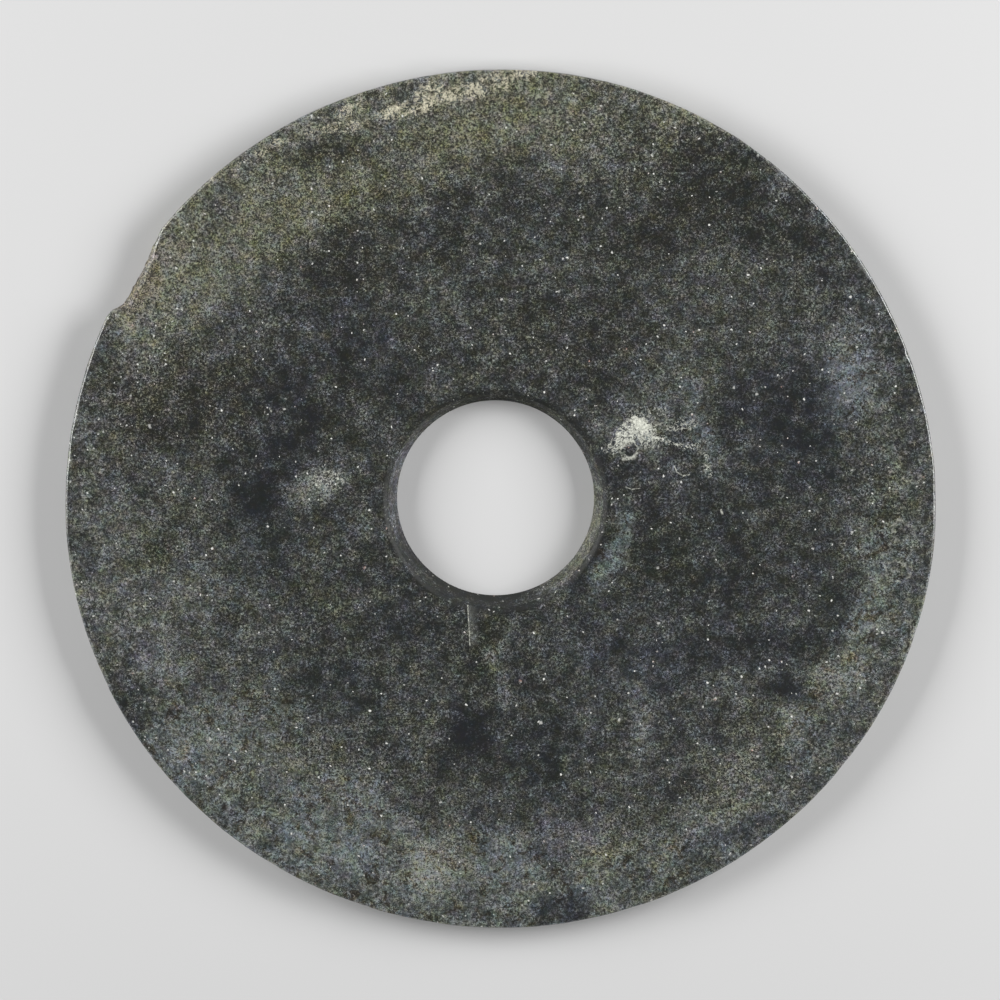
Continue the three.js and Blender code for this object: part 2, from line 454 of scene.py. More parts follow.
# Clouds inside the stone: kind, centre and half-length and half-width in millimetres, turn in degrees
# and strength.
CLOUDS = (
    # the dark core and its cold lower half
    ("dark", (9, -4), (76, 68), 0, 0.4),
    ("teal", (4, -24), (74, 46), 0, 0.25),
    ("blue", (40, -10), (46, 50), 0, 0.25),
    ("dark", (0, 70), (56, 28), 0, 0.5),
    ("dark", (-52, 60), (30, 22), 0, 0.2),
    ("dark", (60, -60), (22, 16), 0, 0.2),
    ("dark", (-68, 22), (26, 18), 0, 0.3),
    ("pale", (32, -38), (32, 20), 0, 0.35),
    # upper left and top
    ("cream", (-83, 53), (18, 7), 58, 0.7),
    ("pale", (-67, 50), (9, 7), 50, 0.7),
    ("olive", (-51, 66), (13, 8), 30, 0.5),
    ("olive", (-34, 72), (11, 6), 10, 0.5),
    ("cream", (-15, 73), (14, 5), 12, 0.35),
    ("dark", (-36, 84), (9, 5), 15, 0.9),
    ("dark", (-10, 90), (20, 5), 14, 0.2),
    ("cream", (42, 87), (9, 4), -28, 0.8),
    ("olive", (-10, 84), (8, 7), 0, 0.6),
    ("olive", (9, 86), (16, 9), 0, 0.4),
    ("dark", (51, 74), (21, 10), -40, 1),
    ("dark", (68, 60), (14, 9), -50, 0.5),
    ("brown", (-76, 26), (22, 10), 5, 0.9),
    ("brown", (-88, 16), (9, 9), 0, 0.5),
    ("brown", (-34, 56), (12, 8), 35, 0.6),
    ("brown", (41, 63), (13, 7), 0, 0.8),
    ("brown", (23, 37), (18, 10), 0, 0.6),
    ("mint", (9, 58), (9, 7), 0, 0.45),
    ("mint", (-14, 50), (11, 7), 0, 0.4),
    ("blue", (-28, 37), (17, 8), -30, 0.7),
    ("dark", (-38, 24), (9, 20), -10, 0.5),
    # left of the hole
    ("blue", (-48, 23), (9, 13), 0, 0.8),
    ("navy", (-54, 7), (7, 10), 0, 0.7),
    ("teal", (-56, -7), (7, 13), 0, 1),
    ("pale", (-41, 6), (6.5, 5.5), 0, 1.1),
    ("pale", (-88, 2), (5, 6), 0, 0.7),
    ("khaki", (-78, -8), (8, 7), 0, 1.2),
    ("mint", (-62, -22), (6, 8), 0, 0.5),
    ("dark", (-67, -27), (5, 5), 0, 0.6),
    ("lilac", (-82, -36), (6, 5), -40, 0.9),
    ("dark", (-84, -47), (15, 7), -62, 0.8),
    ("khaki", (-42, -28), (9, 8), 0, 0.5),
    ("teal", (-39, -44), (11, 8), 0, 0.9),
    ("blue", (-22, -27), (9, 7), 0, 0.5),
    # right of the hole
    ("pale", (33, 17), (9, 7), 10, 1.2),
    ("mint", (47.5, 15), (4.5, 9), 8, 1.5),
    ("mint", (42, 30), (9, 9), 0, 0.7),
    ("sky", (50.2, 17.2), (1.8, 2.2), 0, 0.8),
    ("lilac", (36, 5), (10, 6), 0, 0.5),
    ("mint", (26.5, -8), (3.5, 12), 0, 1.9),
    ("khaki", (36, -10), (9, 9), 0, 1),
    ("khaki", (43, 9), (3.4, 2.6), 0, 0.9),
    ("teal", (47, -3), (9, 9), 0, 0.6),
    ("blue", (64, 24), (11, 15), 0, 0.4),
    ("blue", (64, 20), (13, 20), 0, 0.4),
    ("teal", (70, 9), (11, 11), 0, 0.7),
    ("sky", (78, 28), (9, 11), 0, 1.7),
    ("khaki", (91, 5), (7, 8), 0, 0.9),
    ("mint", (85, -9), (7, 11), 0, 0.6),
    ("teal", (73, -24), (6, 14), 0, 0.8),
    ("mint", (83, -24), (4, 12), -6, 1.1),
    ("cream", (79, -42), (8, 7), 60, 0.6),
    ("navy", (55, -32), (13, 7), 0, 0.5),
    ("blue", (34, -39), (14, 9), 0, 0.7),
    ("sky", (20, -35), (9, 4), 0, 0.6),
    ("navy", (69, -45), (5, 5), 0, 1.1),
    ("navy", (51, -16), (10, 7), 20, 0.2),
    # below the hole and along the lower rim
    ("navy", (-7, -53), (6, 9), 0, 0.8),
    ("teal", (10, -60), (10, 12), 0, 0.9),
    ("dark", (2, -52), (28, 20), 0, 0.15),
    ("khaki", (-3, -33), (4, 8), 0, 0.7),
    ("pale", (-1, -36), (2.5, 8), 8, 1.3),
    ("pale", (32, -51), (4, 13), 14, 1),
    ("pale", (18, -58), (2.5, 9), 0, 0.5),
    ("mint", (-58, -49), (12, 9), -20, 0.8),
    ("sky", (-74, -56), (9, 8), -30, 0.6),
    ("olive", (-40, -63), (15, 7), -20, 0.6),
    ("sky", (-42, -77), (14, 8), -28, 0.7),
    ("sky", (-31, -68), (13, 4), -30, 1.1),
    ("pale", (-20, -83), (4, 7), 0, 0.8),
    ("cream", (-14, -84), (9, 9), 0, 0.7),
    ("sky", (2, -81), (10, 7), 0, 0.9),
    ("pale", (-21, -76), (5, 8), 0, 0.5),
    ("lilac", (18, -76), (9, 5), 0, 1.2),
    ("olive", (25, -80), (10, 8), 0, 0.8),
    ("navy", (14, -95), (9, 4), 0, 0.9),
    ("blue", (54, -80), (11, 5), 38, 0.7),
    ("dark", (42, -66), (8, 4), 0, 0.8),
    ("cream", (53, -67), (11, 8), 35, 0.7),
    ("olive", (60, -55), (11, 8), 50, 0.5),
    ("pale", (70, -56), (4, 6), 0, 0.6),
)


def oval(x, y, centre, reach, turn):
    """Distance from an oval's centre, 1 on its outline.

    Reach is its half-length and half-width, and turn is in degrees.
    """
    cosine, sine = math.cos(math.radians(turn)), math.sin(math.radians(turn))
    offset_x, offset_y = x - centre[0], y - centre[1]
    along = (offset_x * cosine + offset_y * sine) / reach[0]
    across = (offset_y * cosine - offset_x * sine) / reach[1]
    return np.hypot(along, across)


def off_direction(x, y, middle, half_sweep):
    """How far a point's direction is from the middle one, in half sweeps. Both are in degrees."""
    return ((np.degrees(np.arctan2(y, x)) - middle + 180.0) % 360.0 - 180.0) / half_sweep


def tone_and_wall_shade(place):
    """Lightness, yellowness and greenness of the stone at points in millimetres, with painted light and shade
    on the hole's wall.

    Each cloud counts in full at its middle and falls along an S curve to nothing at 1.4 times its reach.
    Their borders wander, because noise of three sizes first moves the points.
    """
    wander = np.zeros(place.shape)
    for axis in range(3):
        for cell, reach in ((24.0, 4.0), (9.0, 3.5), (3.6, 2.2)):
            wander[..., axis] += reach * lattice_noise(place, cell, 50 + axis + int(cell) * 3)
    x, y = place[..., 0] + wander[..., 0], place[..., 1] + wander[..., 1]
    tone = np.zeros(place.shape)

    def add(kind, amount):
        tone[...] += amount[..., None] * np.array(CLOUD_KINDS[kind])

    for kind, radius, half_width, middle, half_sweep, strength in RIM_CLOUDS:
        across = (np.hypot(x, y) - radius) / half_width
        along = off_direction(x, y, middle, half_sweep)
        add(kind, strength * (1.0 - ease(np.hypot(across, along), 0.4, 1.4)))
    from_hole = np.hypot(place[..., 0] - HOLE_CENTRE[0], place[..., 1] - HOLE_CENTRE[1])
    inside = 1.0 - ease(from_hole, *WALL_REACH)
    # The wall's clouds are painted light and shade: lighter towards -X and +X, darker towards +Y and -Y, and
    # darker low down on the -Y side.
    for kind, middle, half_sweep, strength, top in WALL_PAINTED_LIGHT_CLOUDS:
        along = np.abs(off_direction(x, y, middle, half_sweep))
        low = ease(place[..., 2], top + 1.0, top - 0.5)
        add(kind, strength * (inside * (1.0 - ease(along, 0.4, 1.4)) * low))
    for kind, centre, reach, turn, strength in CLOUDS:
        add(kind, strength * (1.0 - ease(oval(x, y, centre, reach, turn), 0.3, 1.4)))
    return tone


# White crust on the upper face: centre, half-length and half-width in millimetres, turn in degrees and
# amount.
WHITE_CRUST = (
    ((32.5, 17.9), (2.3, 1.6), -38, 1),
    ((28.3, 15.4), (5, 2.6), 42, 0.55),
    ((33.8, 15.2), (4, 3.2), -20, 0.52),
    ((35, 21), (5, 1.5), 10, 0.38),
    ((41, 18), (5.5, 2), 0, 0.4),
    ((-40.5, 5), (5.4, 3.8), 0, 0.4),
)

# Strands of the white crust: points along each in millimetres, half-width and amount.
WHITE_STRANDS = (
    (((36.5, 14.6), (41, 13.6), (45.2, 12.6), (47.4, 9.4), (47.7, 5.6)), 0.8, 0.5),
    (((43, 13.6), (47.5, 14)), 0.8, 0.45),
    (((24.5, 12.6), (28, 15.6), (31, 17.6)), 1.2, 0.5),
)

# Strands of the cream vein: points along each in millimetres, half-width and amount.
VEIN_STRANDS = (
    (((-44, 85), (-31, 87.6), (-26.3, 89.6)), 1.7, 0.42),
    (((-26.3, 89.6), (-20.3, 91), (-14.7, 93.4)), 2.3, 0.54),
    (((-14.7, 93.4), (-4.6, 95.6), (2, 97.4), (6.9, 99.4)), 2.9, 0.5),
    (((-19, 94.2), (-13.6, 96.6)), 1.6, 0.5),
    (((-37, 89.5), (-32.5, 91)), 1.7, 0.46),
    (((-66, 74.5), (-50, 82.8)), 1.1, 0.42),
)


def nudged(place):
    """The points' x and y in millimetres, moved by noise of two sizes."""

    def moved(axis, seed):
        shift = 0.9 * lattice_noise(place, 5.0, seed) + 0.6 * lattice_noise(place, 2.0, seed + 1)
        return place[..., axis] + shift

    return moved(0, 71), moved(1, 73)


def patch_amount(place, patches):
    """Amount of crust at points in millimetres: the largest of the patches' soft-edged ellipses."""
    x, y = nudged(place)
    amount = np.zeros(x.shape)
    for centre, reach, turn, most in patches:
        amount = np.maximum(amount, most * (1.0 - ease(oval(x, y, centre, reach, turn), 0.5, 1.6)))
    return amount * ease(place[..., 2], 3.0, 4.5)


def strand_amount(place, strands):
    """Amount of crust at points in millimetres: in full on each strand's line, fading over its half-width."""
    x, y = nudged(place)
    amount = np.zeros(x.shape)
    for points, half_width, most in strands:
        for (start_x, start_y), (end_x, end_y) in zip(points, points[1:]):
            run_x, run_y = end_x - start_x, end_y - start_y
            way = ((x - start_x) * run_x + (y - start_y) * run_y) / (run_x ** 2 + run_y ** 2)
            way = np.clip(way, 0.0, 1.0)
            away = np.hypot(x - start_x - way * run_x, y - start_y - way * run_y)
            amount = np.maximum(amount, most * (1.0 - ease(away / half_width, 0.3, 1.6)))
    crumbled = 1.0 + 0.3 * lattice_noise(place, 2.4, 77)
    return amount * crumbled * ease(place[..., 2], 3.0, 4.5)


def tone_group():
    """Turns lightness, yellowness and greenness into the stone's colour.

    The mix of the dark and the pale mineral goes by the square of the lightness. Yellowness takes blue away,
    and greenness takes red away.
    """
    group, bench, given, give = node_group(
        "stone tone",
        [("Lightness", "Float", 0.4), ("Yellowness", "Float", 0.0), ("Greenness", "Float", 0.0),
         ("Dark", "Color", None), ("Pale", "Color", None)],
        [("Colour", "Color")],
    )
    kept = bench.math("SMOOTH_MAX", given["Lightness"], 0.04, 0.16)
    mix = bench.tint(bench.math("MULTIPLY", kept, kept), given["Dark"], given["Pale"])
    red = bench.math("MULTIPLY_ADD", given["Greenness"], -0.045, 0.965)
    blue = bench.math("MULTIPLY_ADD", given["Yellowness"], -0.15, 0.94)
    hue = bench.lay("ShaderNodeCombineXYZ", {0: red, 1: 1.0, 2: blue}).outputs[0]
    give("Colour", bench.vector("MULTIPLY", mix, hue))
    return group


def flecks_group():
    """Scattered flecks of broken outline: a cell whose random value is under Share holds one."""
    group, bench, given, give = node_group(
        "flecks",
        [("Place", "Vector", None), ("Warp", "Vector", None), ("Spacing", "Float", 2.0),
         ("Radius", "Float", 0.3), ("Share", "Float", 0.1)],
        [("Mask", "Float")],
    )
    spacing = given["Spacing"]
    warped = bench.vector("ADD", given["Place"], given["Warp"])
    cells = bench.shrunk(warped, spacing)
    voronoi = bench.lay("ShaderNodeTexVoronoi", {"Vector": cells, "Scale": 1.0})
    chance = bench.lay("ShaderNodeSeparateColor", {0: voronoi.outputs["Color"]})
    away = bench.math("MULTIPLY", voronoi.outputs["Distance"], spacing)
    size = bench.span(chance.outputs[1], 0.0, 1.0, 0.45, 1.0, False)
    radius = bench.math("MULTIPLY", given["Radius"], size)
    dot = bench.span(away, bench.math("MULTIPLY", radius, 0.4), radius, 1.0, 0.0)
    chosen = bench.math("LESS_THAN", chance.outputs[0], given["Share"])
    shown = bench.math("MULTIPLY", dot, chosen)
    give("Mask", bench.math("MULTIPLY", shown, bench.span(chance.outputs[2], 0.0, 1.0, 0.15, 1.0, False)))
    return group


def hairs_group():
    """Short bent hairlines: where a noise passes its middle value, in patches that a second noise picks."""
    group, bench, given, give = node_group(
        "hairlines",
        [("Place", "Vector", None), ("Size", "Float", 1.5), ("Width", "Float", 0.05)],
        [("Mask", "Float")],
    )
    scaled = bench.shrunk(given["Place"], given["Size"])
    field = bench.noise(scaled, 1.0, 1.0, 0.6, shift=2.0, distortion=0.5)
    off_middle = bench.math("ABSOLUTE", bench.math("SUBTRACT", field, 0.5))
    line = bench.span(off_middle, 0.0, given["Width"], 1.0, 0.0)
    picked = bench.span(bench.noise(scaled, 1.7, 1.0, 0.6, shift=9.0), 0.52, 0.68)
    give("Mask", bench.math("MULTIPLY", line, picked))
    return group


def lace_group():
    """A pale crust eaten through by small holes: noise lifted by Amount, and thinner where that is low."""
    group, bench, given, give = node_group(
        "pale lace",
        [("Place", "Vector", None), ("Size", "Float", 1.0), ("Amount", "Float", 0.0)],
        [("Mask", "Float")],
    )
    scaled = bench.shrunk(given["Place"], given["Size"])
    web = bench.noise(scaled, 1.0, 3.0, 0.65, shift=4.0, distortion=1.2)
    lifted = bench.math("MULTIPLY_ADD", given["Amount"], 0.5, bench.math("SUBTRACT", web, 0.25))
    shown = bench.span(lifted, 0.465, 0.53)
    give("Mask", bench.math("MULTIPLY", shown, bench.span(given["Amount"], 0.05, 0.6, 0.0, 1.0, False)))
    return group


def eye_group():
    """A round spot in the stone: Ring is its pale outline, broken by noise, and Pupil its dark inside."""
    group, bench, given, give = node_group(
        "stone eye",
        [("Place", "Vector", None), ("Centre", "Vector", None), ("Radius", "Float", 2.0)],
        [("Ring", "Float"), ("Pupil", "Float")],
    )
    uneven = bench.scaled(bench.noise(given["Place"], 3.0, 1.0, 0.5, shift=5.0, output="Color"), 3.0)
    shaky = bench.vector("ADD", given["Place"], bench.vector("SUBTRACT", uneven, (1.5, 1.5, 1.5)))
    flat = bench.vector("MULTIPLY", bench.vector("SUBTRACT", shaky, given["Centre"]), (1.0, 1.0, 0.0))
    away = bench.math("SUBTRACT", bench.vector("LENGTH", flat), given["Radius"])
    line = bench.span(bench.math("ABSOLUTE", away), 0.1, 0.5, 1.0, 0.0)
    broken = bench.span(bench.noise(given["Place"], 1.3, 2.0, 0.8, shift=7.0), 0.42, 0.58)
    give("Ring", bench.math("MULTIPLY", line, broken))
    give("Pupil", bench.span(away, -0.9, 0.1, 1.0, 0.0))
    return group


def stroke_group():
    """A straight stroke from Start to End that thins out towards its ends: its half-width is Width."""
    group, bench, given, give = node_group(
        "stroke",
        [("Place", "Vector", None), ("Start", "Vector", None), ("End", "Vector", None),
         ("Width", "Float", 0.2)],
        [("Mask", "Float")],
    )
    run = bench.vector("SUBTRACT", given["End"], given["Start"])
    from_start = bench.vector("SUBTRACT", given["Place"], given["Start"])
    offset = bench.vector("MULTIPLY", from_start, (1.0, 1.0, 0.0))
    covered, whole = bench.vector("DOT_PRODUCT", offset, run), bench.vector("DOT_PRODUCT", run, run)
    way = bench.math("DIVIDE", covered, whole)
    kept = bench.span(way, 0.0, 1.0, 0.0, 1.0, False)
    foot = bench.scaled(run, kept)
    away = bench.vector("LENGTH", bench.vector("SUBTRACT", offset, foot))
    give("Mask", bench.span(away, bench.math("MULTIPLY", given["Width"], 0.3), given["Width"], 1.0, 0.0))
    return group


# Eyes of the stone: centre and radius in millimetres, how white the ring is and how dark the pupil.
EYES = (
    ((29.5, 11.9), 2.0, 0.8, 1.0),
    ((92.6, -7.0), 2.2, 0.3, 0.5),
    ((91.5, -16.0), 2.5, 0.3, 0.5),
)

# Pale scratches, and a painted highlight along the saw mark's upright left side: start, end and half-width in
# millimetres.
SCRATCHES_AND_SAW_GLINT = (
    ((39.9, 8.3), (40.6, 6.8), 0.2),
    ((40.6, 6.8), (42.0, 6.0), 0.22),
    ((42.0, 6.0), (43.4, 6.3), 0.2),
    ((28.8, 3.4), (30.2, 2.9), 0.14),
    ((30.2, 2.9), (32.0, 3.1), 0.14),
    # a painted highlight: the saw mark's upright left side drawn as a bright line
    ((-7.6, -24.2), (-7.1, -33.4), 0.2),
    ((50.7, -1.9), (51.0, -2.8), 0.36),
    ((-53.0, 21.6), (-52.8, 21.0), 0.36),
)


def stone_fields(bench, look):
    """What the rest of the stone reads: place in millimetres, the mesh's masks and tone, and noises."""

    def attribute(name, output="Fac"):
        return bench.lay("ShaderNodeAttribute", settings={"attribute_name": name}).outputs[output]

    def parts(vector):
        return bench.lay("ShaderNodeSeparateXYZ", {0: vector}).outputs

    def colours(*noise, **more):
        return parts(bench.vector("SUBTRACT", bench.noise(*noise, output="Color", **more), (0.5, 0.5, 0.5)))

    place = bench.scaled(bench.lay("ShaderNodeTexCoord").outputs["Object"], 1.0 / MM)
    warp = bench.scaled(bench.noise(place, 0.9, 1.0, 0.6, shift=1.0, output="Color"), 0.9)
    lightness, yellowness, greenness = parts(attribute("tone_and_wall_shade", "Vector"))
    return SimpleNamespace(
        place=place, warp=warp,
        bent=bench.vector("ADD", place, bench.vector("SUBTRACT", warp, (0.45, 0.45, 0.45))),
        lightness=lightness, yellowness=yellowness, greenness=greenness,
        wall=attribute("hole_wall"), worn=attribute("worn_edge_and_painted_light"), loss=attribute("loss"),
        mark=attribute("saw_mark"), white=attribute("white_crust"), cream=attribute("cream_crust"),
        fine=colours(place, look.grain_size / MM, 2.0, 1.0, 5.0, 0.15),
        broad=colours(place, 3.0, 3.0, 0.75, shift=6.0),
        patch=bench.math("SUBTRACT", bench.noise(place, 8.0, 3.0, 0.8, shift=3.0, distortion=0.3), 0.5),
    )


def sum_of(bench, first, *terms):
    """A value plus the products of the terms, which are pairs."""
    for value, factor in terms:
        first = bench.math("MULTIPLY_ADD", value, factor, first)
    return first


def stone_ground(bench, groups, at, look, pupils):
    """The stone's colour: its clouds, grain, pits and hairlines, with a painted highlight on the rim's upper
    edge and painted shade on the hole's upper edge.

    Grain is noise with thin pale ridges. Its strength, and the stone's hue, change from one patch of a few
    millimetres to the next.
    """
    gain = sum_of(
        bench, look.grain_contrast,
        (at.broad[2], 9.0), (at.lightness, 0.3), (at.yellowness, 0.8), (at.greenness, -0.4),
    )
    gain = bench.math("MAXIMUM", gain, 1.0)
    ridge = bench.math("SUBTRACT", 0.09, bench.math("ABSOLUTE", at.fine[1]))
    grain = bench.math("MULTIPLY_ADD", at.fine[0], 0.75, ridge)
    pit = place_group(
        bench, groups.flecks, Place=at.place, Spacing=1.1, Radius=0.4, Share=0.3, Warp=at.warp
    )["Mask"]
    # Ragged brown pits are eaten into the pale green and blue stone.
    eaten = bench.span(bench.noise(at.place, 3.2, 4.0, 0.75, shift=15.0, distortion=0.8), 0.555, 0.59)
    pale = bench.span(bench.math("ADD", at.lightness, at.greenness), 0.2, 1.4)
    eaten = bench.math("MULTIPLY", eaten, pale)
    hair = place_group(bench, groups.hairs, Place=at.place, Size=1.6, Width=0.035)["Mask"]
    short = place_group(bench, groups.hairs, Place=at.bent, Size=0.9, Width=0.05)["Mask"]
    # The rim's upper edge is painted lighter, a painted highlight, and the hole's upper edge a little darker,
    # painted shade.
    light = sum_of(
        bench, 0.265,
        (at.lightness, 0.2), (at.patch, 0.6), (at.broad[2], 0.4),
        (bench.math("MAXIMUM", at.worn, -0.4), 0.22), (at.wall, 0.09), (at.loss, -0.2),
        (grain, gain), (pit, -0.35), (eaten, -0.26),
        (bench.math("MAXIMUM", hair, short), bench.span(at.lightness, -1.0, 1.0, 0.12, 0.42)),
        (pupils, -0.1), (at.mark, 0.28),
    )
    yellow = sum_of(bench, at.yellowness, (at.broad[0], 8.0), (eaten, 0.8))
    browned = bench.math("MAXIMUM", eaten, at.loss)
    green = sum_of(bench, at.greenness, (at.broad[1], 14.0), (browned, -3.0))
    return place_group(
        bench, groups.tone, Lightness=light, Yellowness=yellow, Greenness=green,
        Dark=(*look.dark_mineral, 1.0), Pale=(*look.pale_mineral, 1.0),
    )["Colour"]


def specked(bench, groups, at, look, stone):
    """The stone with small pale grains, and with bright specks in swarms where the patch noise is high."""

    def flecks(spacing, radius, share):
        return place_group(
            bench, groups.flecks, Place=at.place, Spacing=spacing, Radius=radius, Share=share, Warp=at.warp
        )["Mask"]

    dusty = bench.math("MULTIPLY_ADD", at.yellowness, 0.7, at.lightness)
    dust = bench.math("MULTIPLY", flecks(0.75, 0.3, 0.25), bench.span(dusty, -1.2, 1.1, 0.0, 0.6))
    stone = bench.tint(dust, stone, (*look.pale_mineral, 1.0))
    swarm = bench.span(at.patch, -0.03, 0.14, 0.08, 0.5)
    speck = bench.math("MAXIMUM", flecks(1.3, 0.34, swarm), flecks(4.5, 0.55, 0.3))
    rusty = bench.span(at.broad[1], -0.06, -0.16)
    return bench.tint(speck, stone, bench.tint(rusty, (*look.speck, 1.0), (*look.rust, 1.0)))


def stone_eyes(bench, groups, at):
    """The pale rings of the stone's eyes, one mask each, and one mask of their dark pupils."""
    rings, pupils = [], 0.0
    for (x, y), radius, whiteness, darkness in EYES:
        spot = place_group(bench, groups.eye, Place=at.bent, Centre=(x, y, 0.0), Radius=radius)
        pupils = bench.math("MAXIMUM", pupils, bench.math("MULTIPLY", spot["Pupil"], darkness))
        rings.append(bench.math("MULTIPLY", spot["Ring"], whiteness))
    return rings, pupils


def crusted(bench, groups, at, look, stone, rings, pupils):
    """The stone with its white patch, cream vein, eyes' rings and scratches, a painted highlight along the
    saw mark, and the crust's mask.
    """
    grainy = bench.math("MULTIPLY_ADD", at.fine[0], 2.6, 0.95)
    white = place_group(bench, groups.lace, Place=at.place, Size=0.65, Amount=at.white)["Mask"]
    cream = place_group(bench, groups.lace, Place=at.place, Size=0.9, Amount=at.cream)["Mask"]
    crust = bench.math("MAXIMUM", white, cream)
    white = bench.math("MULTIPLY", white, bench.math("MULTIPLY_ADD", pupils, -0.85, 1.0))
    stone = bench.tint(white, stone, bench.scaled(look.white, grainy))
    stone = bench.tint(cream, stone, bench.scaled(look.cream, grainy))
    drawn = (*look.white, 1.0)
    for ring in rings:
        stone = bench.tint(ring, stone, drawn)
    broken = bench.span(at.fine[1], -0.12, 0.1, 0.1, 0.75)
    # One stroke, along the saw mark's upright side, is a painted highlight.
    for (start_x, start_y), (end_x, end_y), width in SCRATCHES_AND_SAW_GLINT:
        start, end = (start_x, start_y, 0.0), (end_x, end_y, 0.0)
        mask = place_group(bench, groups.stroke, Place=at.place, Start=start, End=end, Width=width)["Mask"]
        stone = bench.tint(bench.math("MULTIPLY", mask, broken), stone, drawn)
    return stone, crust


def jade_material(look):
    """Dark green-grey nephrite: clouds of pale, olive and blue stone, fine grain, specks, crust and wear."""
    material = bpy.data.materials.new("jade")
    material.use_nodes = True
    tree = material.node_tree
    tree.nodes.clear()
    bench = Bench(tree)
    groups = SimpleNamespace(
        tone=tone_group(), flecks=flecks_group(), hairs=hairs_group(), lace=lace_group(),
        eye=eye_group(), stroke=stroke_group(),
    )
    at = stone_fields(bench, look)
    rings, pupils = stone_eyes(bench, groups, at)
    stone = stone_ground(bench, groups, at, look, pupils)
    stone = specked(bench, groups, at, look, stone)
    stone, crust = crusted(bench, groups, at, look, stone, rings, pupils)

    # The bored wall is smoother and paler, with drawn-out rings; the saw mark's floor is pale too.
    bored = bench.noise(bench.vector("MULTIPLY", at.place, (0.12, 0.12, 3.4)), 1.6, 3.0, 0.6, shift=8.0)
    wall_pale = (*look.wall_pale, 1.0)
    wall_colour = bench.tint(bench.span(bored, 0.35, 0.65), (*look.wall_dark, 1.0), wall_pale)
    # More of the bored colour shows where the tone is lighter, so on the wall it follows the painted light
    # and shade of the wall's clouds.
    polished = bench.math("MULTIPLY", at.wall, bench.span(at.lightness, -0.2, 0.7, 0.05, 0.5))
    stone = bench.tint(polished, stone, wall_colour)
    stone = bench.tint(bench.math("MULTIPLY", at.mark, 0.3), stone, wall_pale)

    height = bench.math("MULTIPLY_ADD", at.wall, bench.math("MULTIPLY", bored, 1.5), at.fine[0])
    bump = bench.lay("ShaderNodeBump", {"Strength": look.relief, "Distance": 0.08 * MM, "Height": height})
    rough = sum_of(
        bench, 0.35, (at.patch, 0.3), (crust, 0.12), (at.worn, -0.22), (at.loss, 0.4), (at.wall, 0.5)
    )
    # Only the rim's worn upper edge is polished, and less so where the rim is lost.
    whole = bench.math("MULTIPLY_ADD", at.loss, -0.7, 0.7)
    surface = bench.lay("ShaderNodeBsdfPrincipled", {
        "Base Color": stone, "Roughness": rough, "Normal": bump.outputs["Normal"],
        "IOR": 1.6, "Specular IOR Level": 0.2, "Coat Roughness": 0.25,
        "Coat Weight": bench.math("MULTIPLY", bench.span(at.worn, 0.0, 1.0), whole),
    })
    out = bench.lay("ShaderNodeOutputMaterial")
    tree.links.new(surface.outputs["BSDF"], out.inputs["Surface"])
    return material


def plain_material(name, tint, roughness):
    """A plain studio material."""
    material = bpy.data.materials.new(name)
    material.use_nodes = True
    surface = material.node_tree.nodes["Principled BSDF"]
    surface.inputs["Base Color"].default_value = (*tint, 1.0)
    surface.inputs["Roughness"].default_value = roughness
    return material


# ---- Sizes, colours and studio settings ---------------------------------------------------------


def length(name, description, default):
    """A length in metres that a user can change."""
    return FloatProperty(name=name, description=description, default=default, unit="LENGTH", precision=5)


def colour(name, description, default):
    """A colour that a user can change, in linear light."""
    return FloatVectorProperty(
        name=name, description=description, default=default, subtype="COLOR", size=3, min=0.0, max=1.0
    )


class BiSizes(bpy.types.PropertyGroup):
    """Sizes of the disc."""

    thickness: length("Thickness", "Height of the slab by the hole", HIGH.z - LOW.z)
    outer_diameter: length(
        "Outer diameter", "Mean diameter of the rim", 0.5 * (HIGH.x - LOW.x + HIGH.y - LOW.y) + 0.09 * MM
    )
    hole_top_diameter: length("Hole mouth", "Diameter of the hole at the upper face", 50.2 * MM)
    hole_bottom_diameter: length("Hole bottom", "Diameter of the hole at the underside", 45.1 * MM)
    hole_centre_x: length("Hole centre X", "Place of the hole's middle", HOLE_CENTRE[0] * MM)
    hole_centre_y: length("Hole centre Y", "Place of the hole's middle", HOLE_CENTRE[1] * MM)
    edge_wear: length("Edge wear", "Width of the worn upper edge of the rim", 0.45 * MM)
    saw_mark_width: length("Saw mark width", "Width of the saw mark beside the hole", 2.0 * MM)
    saw_mark_depth: length("Saw mark depth", "Depth of the saw mark beside the hole", 0.35 * MM)
    columns: IntProperty(name="Columns", description="Columns of the surface's grid", default=600, min=90)


class JadeLook(bpy.types.PropertyGroup):
    """Colours and grain of the stone."""

    dark_mineral: colour("Dark mineral", "Near black ground of the stone", (0.0165, 0.0170, 0.0165))
    pale_mineral: colour("Pale mineral", "Palest grains of the stone", (0.29, 0.295, 0.29))
    speck: colour("Specks", "Bright specks", (0.80, 0.80, 0.76))
    rust: colour("Rust", "Reddish specks", (0.50, 0.33, 0.28))
    white: colour("White crust", "White patch and its lace", (0.56, 0.57, 0.50))
    cream: colour("Cream vein", "Vein beside the rim", (0.52, 0.49, 0.37))
    wall_pale: colour("Bored wall, pale", "Pale rings of the hole's wall", (0.150, 0.152, 0.140))
    wall_dark: colour("Bored wall, dark", "Dark rings of the hole's wall", (0.070, 0.072, 0.068))
    grain_size: length("Grain size", "Size of the coarser mineral grains", 0.6 * MM)
    grain_contrast: FloatProperty(
        name="Grain contrast", description="Contrast of the grain", default=3.2, min=0.0, max=6.0
    )
    relief: FloatProperty(
        name="Relief", description="Strength of the fine relief", default=0.6, min=0.0, max=2.0
    )


